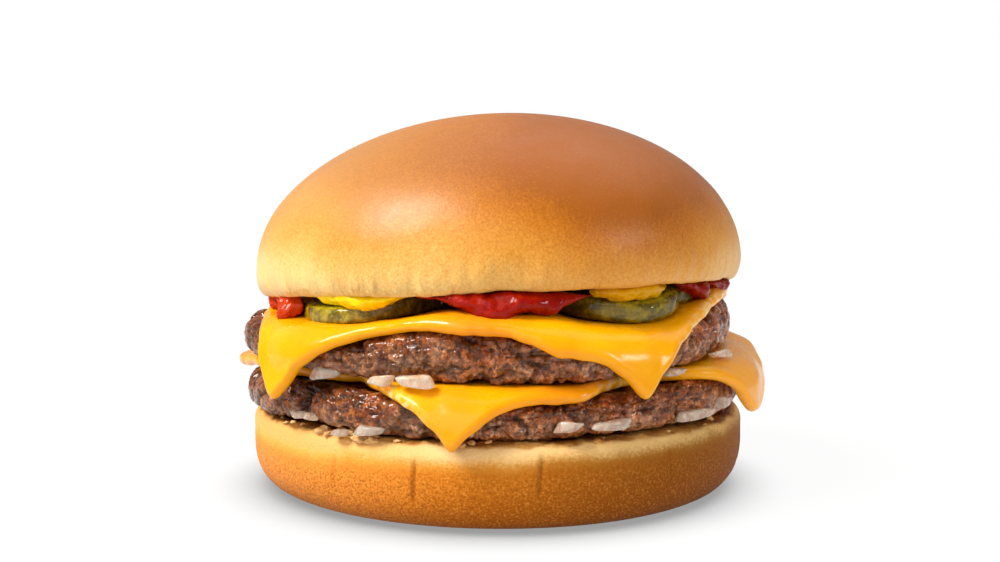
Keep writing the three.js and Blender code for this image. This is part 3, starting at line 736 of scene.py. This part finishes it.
def make_patty(name, patty):
    flat = 1 - PATTY_EDGE / 50  # where the round edge starts, as a share of the radius
    angle = np.radians(np.linspace(-90, 90, 76))
    edge = np.stack([flat + (1 - flat) * boxy(np.cos(angle), 0.85), boxy(np.sin(angle), 0.85)], -1)
    inner = np.array([0, 0.3, 0.5, 0.62, 0.7, 0.76, 0.81, 0.85, 0.88, 0.905, 0.93, 0.95, 0.97, 0.985]) * flat
    low = np.stack([inner, -np.ones_like(inner)], -1)
    high = np.stack([inner[::-1], np.ones_like(inner)], -1)
    profile = np.concatenate([low, edge, high])
    azimuth = np.arange(PATTY_COLUMNS) * (360 / PATTY_COLUMNS)
    share, level = profile[:, :1], profile[:, 1:]
    reach = patty["radius"](azimuth)[None]
    top = face_height(patty["top"], patty["top_rim"](azimuth)[None], share)
    bottom = face_height(patty["bottom"], patty["bottom_rim"](azimuth)[None], share)
    z = mix(bottom, top, (level + 1) / 2)
    p = polar(azimuth[None], share * (reach - MINCE_INSET), z)
    seed = patty["seed"]
    on_edge = smooth(flat * 0.97, flat * 1.02, share)
    warp = np.stack([noise(p, 6, seed + n) for n in (40, 41, 42)], -1)
    twist = np.stack([noise(p, 2, seed + n) for n in (43, 44, 45)], -1)
    q = (p + 2.0 * warp) * [1, 1, 1.1]
    nearest, second = cells(q, 9.5, seed)
    broken = smooth(-0.1, 0.4, noise(p, 12, seed + 6))
    deep = np.exp(-(((second - nearest) / 0.06) ** 2)) * broken
    # rounded lumps of mince with sharp creases between them, at three sizes
    lump = np.minimum(2.4 * np.abs(noise(p + 1.5 * warp, 3.8, seed + 1)), 1) ** 0.75
    knob = np.minimum(2.4 * np.abs(noise(p + 0.8 * twist, 1.8, seed + 2)), 1) ** 0.75
    crumb = np.minimum(2.2 * np.abs(noise(p + 0.4 * twist, 1.0, seed + 3)), 1) ** 0.7
    soft = 0.5 * noise(p, 7, seed + 8) + 0.3 * noise(p, 15, seed + 4)
    amount = -0.5 + soft - 0.65 * nearest**1.7 - 0.45 * deep + 0.6 * lump + 0.6 * knob + 0.42 * crumb
    for middle, width, depth in patty["clefts"]:
        lean = middle + 2.2 * np.sin(z * 0.45 + middle) + 1.5 * warp[..., 0]
        amount = amount - depth * bump(azimuth[None], lean, width)
    amount = np.where(amount > 0, MINCE_RISE * np.tanh(amount / MINCE_RISE), np.maximum(amount, -MINCE_PIT))
    p = displaced(p, amount * on_edge)
    # crag is low in the pits, where the material paints shade
    crag = np.clip((amount + 1.3) / 1.3, 0, 1) * (0.25 + 0.75 * lump) * (0.4 + 0.6 * knob)
    up = np.broadcast_to((level + 1) / 2, z.shape)
    ball_piece(name + "_seared", p, [name], BEEF, {"crag": crag, "up": up})


# ---- the cheese
# reach: how far the slice goes before it bends, longest at its corners. tips: the sharp corners.
# swell: the azimuth and the distance of its swell. lean and bend: as above, eased where it hangs free.
SLICE_LOWER = dict(
    patty=LOWER, seed=5, tips=(-8.6, 171), swell=(71, 53),
    reach=around((-97, 55.8), (-91, 53.6), (-84, 50.8), (-74, 48), (-56, 45), (-38, 43.6), (-29, 46.6),
                 (-24, 48.9), (-16, 52.1), (-12, 54.5), (-8.6, 57), (-5, 54.4), (0, 51.4), (6, 50), (18, 49),
                 (25, 46.4), (32, 43), (42, 43.8), (50, 48.5), (60, 52.6), (65, 57.5), (69, 59), (73, 58.6),
                 (79, 56),
                 (88, 54.6), (98, 54.4), (106, 53), (113, 49.6), (126, 47.8), (155, 52), (166, 56), (171, 58),
                 (176, 56), (188, 51.6), (215, 48), (235, 49), (252, 52)),
    lean=lambda a: SLICE_LEAN - 74 * bump(a, -98, 26) - 52 * bump(a, 99, 14),
    bend=lambda a: SLICE_BEND + 3 * bump(a, -98, 22) + 5 * bump(a, 99, 14),
)
SLICE_UPPER = dict(
    patty=UPPER, seed=9, tips=(-50, 29.5, 120, 216), swell=(-46, 50.5),
    reach=around((-90, 46.4), (-78, 47.6), (-66, 49.8), (-57, 53), (-53.2, 58), (-50, 60.9), (-46.6, 58.6),
                 (-43, 54.8), (-36, 51), (-29, 48.7), (-18, 48.6), (-10, 50), (2, 50.5), (10, 52.3),
                 (20, 53.3), (25, 55.4), (29.5, 58.4), (34, 54.8), (40, 51.2), (48, 48.9), (60, 47.2),
                 (74, 46.5), (90, 47), (108, 52), (115, 56), (120, 58.4), (125, 56), (133, 51.8),
                 (155, 48.6), (180, 49), (202, 52), (211, 57), (216, 59.4), (221, 57), (230, 52),
                 (250, 47.4)),
    lean=lambda a: SLICE_LEAN + 0 * a,
    bend=lambda a: SLICE_BEND + 0 * a,
)


def drape(cheese, azimuth, distance, lift):
    """Where a point of the flat slice ends up once it has bent over the patty's edge."""
    start = cheese["patty"]["radius"](azimuth) - PATTY_EDGE
    bend = cheese["bend"](azimuth)
    past = np.maximum(0, distance - start)
    angle = np.minimum(past / bend, np.radians(cheese["lean"](azimuth)))
    straight = past - angle * bend
    inner = np.minimum(distance, start)
    radius = inner + bend * np.sin(angle) + straight * np.cos(angle) + lift * np.sin(angle)
    rest = patty_top(cheese["patty"], azimuth, inner) + SLICE_LIFT
    z = rest - bend * (1 - np.cos(angle)) - straight * np.sin(angle) + lift * np.cos(angle)
    return polar(azimuth, radius, z)


def make_slice(name, cheese):
    thick, seed = SLICE_THICKNESS, cheese["seed"]
    azimuth = np.arange(SLICE_COLUMNS)[None] * 360 / SLICE_COLUMNS
    reach = cheese["reach"](azimuth)
    brink = polar(azimuth, 50.0, 0.0)
    reach = reach + 0.35 * noise(brink, 5, seed) + 0.15 * noise(brink, 2, seed + 1)
    reach = reach + sum(0.5 * bump(azimuth, tip, 1.5) for tip in cheese["tips"])
    flat = np.minimum(cheese["patty"]["radius"](azimuth) - PATTY_EDGE, reach - 4)
    inner = np.linspace(0, 1, 14)[:, None] * flat
    outer = flat + np.linspace(0, 1, 52)[1:, None] * (reach - thick / 2 - flat)
    turn = np.radians(np.linspace(90, 0, 12))[1:, None]
    rim = reach - thick / 2 * (1 - np.cos(turn))
    distance = np.concatenate([inner, outer, rim])
    half = np.concatenate([np.ones(len(inner) + len(outer)), np.sin(turn[:, 0])])[:, None] * thick / 2
    spot = polar(azimuth, distance, 0.0)
    near = 1 - smooth(0, 9, reach - distance)
    soft = 0.3 * noise(spot, 8, seed + 3) + 0.14 * noise(spot, 3.6, seed + 4)
    middle = thick / 2 + soft * smooth(0, 5, reach - distance) + 0.3 * near * noise(spot, 6, seed + 6)
    at, far = cheese["swell"]
    middle = middle + SWELL_HEIGHT * bump(azimuth, at, 6) * np.exp(-(((distance - far) / 3.4) ** 2))
    lip = 1 + 0.13 * np.exp(-(((reach - distance - 1.5) / 1.1) ** 2))
    top = drape(cheese, azimuth, distance, middle + half * lip)
    under = drape(cheese, azimuth, distance, middle - half)
    p = np.concatenate([under[:-1], top[::-1]])
    edge = 1 - smooth(0, 2.2, reach - distance) + 0 * azimuth
    if name == "cheese_upper":
        dull = 0 * edge
        milky = edge * bump(azimuth, 56, 16)
        # deep: painted shade along the front, under the ketchup
        deep = bump(azimuth, -4, 11)
    else:
        dull = smooth(36, 50, top[..., 0])
        milky = edge * (bump(azimuth, 30, 9) + bump(azimuth, -20, 5))
        # deep: painted shade along the front, under the upper patty; also deeper at the left corner
        deep = 0.8 * bump(azimuth, 12, 9) + 0.45 * bump(azimuth, -9, 5) + 0.9 * bump(azimuth, -97, 12)
    tones = dict(edge=edge, dull=dull, milky=milky, deep=deep + 0 * edge)
    tones = {key: np.concatenate([tone[:-1], tone[::-1]]) for key, tone in tones.items()}
    ball_piece(name + "_melted", p, [name], CHEESE, tones)


# ---- the pickles
# middle, radius, thickness, seed
PICKLES = dict(
    pickle_left=((-23.6, -25.8), 13.1, 3.0, 1),
    pickle_right=((21.5, -28.2), 12.2, 4.0, 2),
    pickle_rear=((27.8, -18.6), 11.4, 3.0, 3),
)


def cheese_top(x, y):
    distance = np.hypot(x, y)
    azimuth = np.degrees(np.arctan2(x, -y))
    droop = 0.06 * np.maximum(0, distance - 45) ** 2
    return patty_top(UPPER, azimuth, np.minimum(distance, 44)) + SLICE_LIFT + SLICE_THICKNESS - droop


def make_pickle(name, middle, radius, thickness, seed):
    skin = thickness * 0.3
    low = lines_between(np.array([[0, 0], [radius - skin, 0]]), 18)
    side = arc((radius - skin, skin), (skin, skin), -90, 0, 12)
    shoulder = arc((radius - skin, thickness - skin), (skin, skin), 0, 90, 12)
    wall = lines_between(np.array([[radius, skin], [radius, thickness - skin]]), 8)[1:]
    high = lines_between(np.array([[radius - skin, thickness], [0, thickness]]), 18)[1:]
    profile = np.concatenate([low, side, wall, shoulder, high, [[0, thickness]]])
    p, _ = turned(profile, PICKLE_COLUMNS)
    rim = smooth(radius * 0.75, radius, from_axis(p))
    rough = 0.3 * noise(p * [1, 1, 0.4], 6, seed) + 0.14 * noise(p, 2.2, seed + 4)
    rough = rough + 0.05 * noise(p, 0.9, seed + 8)
    skin_share = smooth(radius - skin * 0.9, radius - skin * 0.25, from_axis(p))
    p = displaced(p, rim * rough)
    p[..., 0] += middle[0]
    p[..., 1] += middle[1]
    p[..., 2] += cheese_top(p[..., 0], p[..., 1]) + PICKLE_LIFT - PICKLE_SINK
    ball_piece(name + "_slice", p, [name], PICKLE, {"skin": skin_share})


# ---- the sauces
# azimuths of both ends, distance from the axis, depth, top, and the underside as (azimuth, height)
SAUCES = dict(
    ketchup_front=(-19, 21, 46.2, 6, 42.6, ((-19, 41), (-13, 40.2), (-6, 38.6), (0, 37.1), (6, 38.6),
                                            (11, 37.9), (15, 39.6), (21, 40.6))),
    ketchup_left_1=(-76, -67, 44.8, 5, 40.4, ((-76, 36.8), (-70, 36.4))),
    ketchup_left_2=(-66, -53.6, 45.6, 5, 40.8, ((-66, 36), (-60, 35.2), (-54, 36))),
    ketchup_right=(46, 63, 45.2, 5, 43.2, ((46, 42), (51, 41), (56, 39.2), (61, 38.6), (63, 39))),
    ketchup_side=(65, 86, 45, 5, 43, ((65, 40.4), (76, 39.2), (86, 40))),
    ketchup_back=(166, 190, 45.6, 6, 38.6, ((166, 35), (179, 34), (190, 35.2))),
    mustard_back=(98, 112, 45, 6, 41.6, ((98, 38.4), (105, 37.9), (112, 38.2))),
    mustard_left=(-52.6, -20, 44.8, 7, 42.4, ((-52, 39.6), (-42, 39.2), (-34, 37.9), (-29, 38.4),
                                              (-20, 40.4))),
    mustard_right=(22, 45, 43.6, 7, 44, ((22, 40.2), (33, 39.8), (45, 40.6))),
)


def make_sauce(name, start, end, radius, depth, high, low):
    floor = around(*low, (low[0][0] + 359, low[0][1]))
    rows, columns = SAUCE_GRID
    along = np.linspace(-1, 1, rows)[:, None]
    turn = np.linspace(0, 2 * np.pi, columns, endpoint=False)[None]
    girth = np.maximum(np.cos(along * np.pi / 2), 0) ** 0.6
    girth[[0, -1]] = 0
    azimuth = mix(start, end, (boxy(along, 0.9) + 1) / 2)
    bottom = floor(azimuth)
    out = radius + depth / 2 * girth * np.cos(turn)
    z = (bottom + high) / 2 + (high - bottom) / 2 * girth * np.sin(turn)
    p = polar(np.broadcast_to(azimuth, out.shape), out, z)
    thin = end < -50  # the ketchup at the left
    rough = 2.2 if thin else 1
    amount = 0.5 * noise(p, 3.4, 81) + (0.35 * noise(p, 1.7, 82) + 0.12 * noise(p, 0.9, 83)) * rough
    amount = amount * np.minimum(1, girth * 1.5)
    p = displaced(p, amount)
    if thin:
        # a drip down to the slice
        drip = bump(azimuth_of(p), DRIP_AZIMUTH, 2.2)
        drip = drip * smooth(high, (high + bottom) / 2 - 1, p[..., 2])
        p = p * (1 + [0.045, 0.045, 0] * drip[..., None]) - [0, 0, 1.5] * drip[..., None]
    red = name.startswith("ketchup")
    ball_piece(name + "_sauce", p, [name], KETCHUP if red else MUSTARD)


# ---- the onion
# azimuth, distance from the axis, height, length, thickness, turn in degrees
ONIONS = (
    (-39.9, 48.8, 26.9, 5.7, 2.6, 14), (-24.4, 50.8, 27, 4.2, 2.2, -10), (-16.5, 51.2, 27.1, 6.2, 2.5, 4),
    (42.6, 48.4, 26.9, 5, 1.4, 0), (114, 49.6, 27.9, 5.6, 2.6, 12), (143, 49.8, 26.8, 6.4, 2.4, -16),
    (-150, 50.2, 26, 5, 2.4, 10), (-126, 50.6, 25.8, 6, 2.4, -8), (60.2, 49.4, 28.7, 5.4, 1.9, -16),
)
ONIONS_BELOW = (
    (-47.4, 50.4, 18.7, 3.4, 1.7, 8), (-42.9, 50.6, 18.8, 2.6, 1.6, -20), (-34.4, 50.8, 16.9, 2.8, 1.5, -10),
    (-26.7, 50.6, 17.8, 5.4, 2.2, 10), (13.8, 50.6, 19.2, 4.6, 2.4, -12), (23.2, 50.8, 19.1, 7, 2, 6),
    (46.6, 50.6, 18.9, 9.6, 2.2, -4), (57.9, 50.8, 20, 4.2, 2.2, 12), (108, 50.4, 18.4, 6.6, 2.2, 10),
    (152, 50.4, 18, 5, 2.2, -14), (-136, 50.4, 18, 6.4, 2.2, 14),
)


def rotation(axis, degrees):
    c, s = math.cos(math.radians(degrees)), math.sin(math.radians(degrees))
    if axis == "z":
        return np.array([[c, -s, 0], [s, c, 0], [0, 0, 1]])
    return np.array([[1, 0, 0], [0, c, -s], [0, s, c]])


def make_onion(name, azimuth, radius, z, length, height, turn):
    """A short length of a curved layer, cut square, thinner at one end."""
    rows, columns = ONION_GRID
    lat = np.linspace(-np.pi / 2, np.pi / 2, rows)[:, None]
    angle = np.linspace(0, 2 * np.pi, columns, endpoint=False)[None] + 0.065
    girth = np.abs(np.cos(lat)) ** 0.34
    girth[[0, -1]] = 0
    along = boxy(np.sin(lat), 0.42)
    across = boxy(np.cos(angle), 0.45) * girth
    up = boxy(np.sin(angle), 0.45) * girth
    along = along + 0 * across
    seed = int(azimuth + 200 + z)
    taper = 1 - 0.22 * (1 + along * (1 if seed % 2 else -1))
    slant = (0.55 if seed % 3 else -0.6) * height / 2
    p = np.stack([along * length / 2 + slant * up, across * (0.7 + 0.3 * taper) + 0.7 * along**2,
                  up * height * taper / 2], -1)
    swell, dents = noise(p + seed, 2.6, 91)[..., None], noise(p + seed, 1.3, 92)[..., None]
    p = p * (1 + 0.12 * swell) + 0.1 * dents * girth[..., None]
    p = (p @ rotation("x", turn * 0.6).T) @ rotation("z", turn).T + [0, -radius, z]
    ball_piece(name + "_dice", p @ rotation("z", azimuth).T, [name], ONION)


def make_crumbs():
    """Crumbs of bun on the heel's cut edge, thickest at the front left."""
    rng = np.random.default_rng(12)
    rows, columns = CRUMB_GRID
    lat = np.linspace(-np.pi / 2, np.pi / 2, rows)[:, None]
    turn = np.linspace(0, 2 * np.pi, columns, endpoint=False)[None]
    x, y = np.cos(lat) * np.cos(turn), np.cos(lat) * np.sin(turn)
    ball = np.stack(np.broadcast_arrays(x, y, np.sin(lat)), -1)
    grids = []
    for i in range(CRUMBS):
        azimuth = rng.normal(-36, 9) if i < FRONT_CRUMBS else rng.uniform(-180, 180)
        size = rng.uniform(0.25, 0.75) * (1.6 if i < LARGE_CRUMBS else 1)
        distance = rng.uniform(47.2, 49.3)
        spin = rotation("z", rng.uniform(0, 360))
        lumps = 1 + 0.6 * noise(ball * 1.3 + i * 3.1, 0.9, 95)[..., None]
        grid = (ball * lumps * size * [1.2, 0.95, 0.5]) @ spin
        drop = 3 - math.sqrt(max(0.0, 9 - max(0.0, distance - 47.4) ** 2))
        grids.append(grid + polar(azimuth, distance, HEEL["height"] - drop + 0.25 * size))
    joined_piece("bun_crumbs", grids, None, CRUMB)


make_crown()
make_heel()
make_crumbs()
make_patty("patty_lower", LOWER)
make_patty("patty_upper", UPPER)
make_slice("cheese_lower", SLICE_LOWER)
make_slice("cheese_upper", SLICE_UPPER)
for name, pickle in PICKLES.items():
    make_pickle(name, *pickle)
for name, sauce in SAUCES.items():
    make_sauce(name, *sauce)
for i, onion in enumerate(ONIONS):
    make_onion(f"onion_upper_{i + 1}", *onion)
for i, onion in enumerate(ONIONS_BELOW):
    make_onion(f"onion_lower_{i + 1}", *onion)

# ---- the floor, the light and the camera
floor_mesh = bpy.data.meshes.new("floor")
floor_mesh.from_pydata([(x, y, -0.0002) for y in (-3, 6) for x in (-5, 5)], [], [(0, 1, 3, 2)])
floor = bpy.data.objects.new("floor", floor_mesh)
scene.collection.objects.link(floor)
# the floor glows evenly, and a painted contact shadow dims that glow near the burger, by ambient occlusion
ground = Shader("pale_floor", Roughness=0.8, Specular_IOR_Level=0.0, Emission_Strength=0.94)
ground.bsdf.inputs["Base Color"].default_value = (0.05, 0.05, 0.05, 1)
nook = ground.node("ShaderNodeAmbientOcclusion")
nook.inputs["Distance"].default_value = 0.017
ground.link(ground.range(nook.outputs["AO"], 0.15, 0.9, 0.35, 1.0), ground.bsdf.inputs["Emission Color"])
floor_mesh.materials.append(ground.material)

# a bright backdrop behind the burger and a dim room on the camera's side
world = bpy.data.worlds.new("studio")
scene.world = world
world.use_nodes = True
tree = world.node_tree
background = tree.nodes["Background"]
background.inputs["Color"].default_value = (1, 1, 1, 1)
direction = tree.nodes.new("ShaderNodeTexCoord")
split = tree.nodes.new("ShaderNodeSeparateXYZ")
tree.links.new(direction.outputs["Generated"], split.inputs[0])
strength = tree.nodes.new("ShaderNodeMapRange")
strength.interpolation_type = "SMOOTHSTEP"
for key, number in (("From Min", -0.1), ("From Max", 0.75), ("To Min", 0.16), ("To Max", 0.4)):
    strength.inputs[key].default_value = number
tree.links.new(split.outputs["Y"], strength.inputs["Value"])
# the backdrop itself is white wherever it is seen straight
seen = tree.nodes.new("ShaderNodeLightPath")
white = tree.nodes.new("ShaderNodeMath")
white.operation = "MAXIMUM"
tree.links.new(seen.outputs["Is Camera Ray"], white.inputs[0])
tree.links.new(strength.outputs["Result"], white.inputs[1])
tree.links.new(white.outputs[0], background.inputs["Strength"])


def soft_sun(name, azimuth, elevation, width, power, colour=(1, 1, 1)):
    """A broad far light, from an azimuth and an elevation in degrees."""
    light = bpy.data.lights.new(name, "SUN")
    light.angle = math.radians(width)
    light.energy = power
    light.color = colour
    obj = bpy.data.objects.new(name, light)
    scene.collection.objects.link(obj)
    obj.rotation_euler = (math.radians(90 - elevation), 0, math.radians(azimuth))


soft_sun("key", -66, 50, 24, 3.8, (1.0, 0.98, 0.94))
soft_sun("front", -22, 34, 50, 0.8)
soft_sun("fill", 62, 20, 14, 0.7)
soft_sun("top", 150, 70, 60, 0.8)

scene.view_settings.view_transform = "Standard"
scene.view_settings.look = "None"

# fitted to the bun's outline in the photo: 271 mm in front, 62 mm up, tilted down by 4.5 degrees
camera = bpy.data.objects.new("camera", bpy.data.cameras.new("camera"))
scene.collection.objects.link(camera)
camera.location = (0.00031, -0.2712, 0.0622)
camera.rotation_euler = (math.pi / 2 - 0.079, 0, 0)
camera.data.lens = 46.8
camera.data.sensor_width = 36
camera.data.clip_start = 0.01
scene.camera = camera
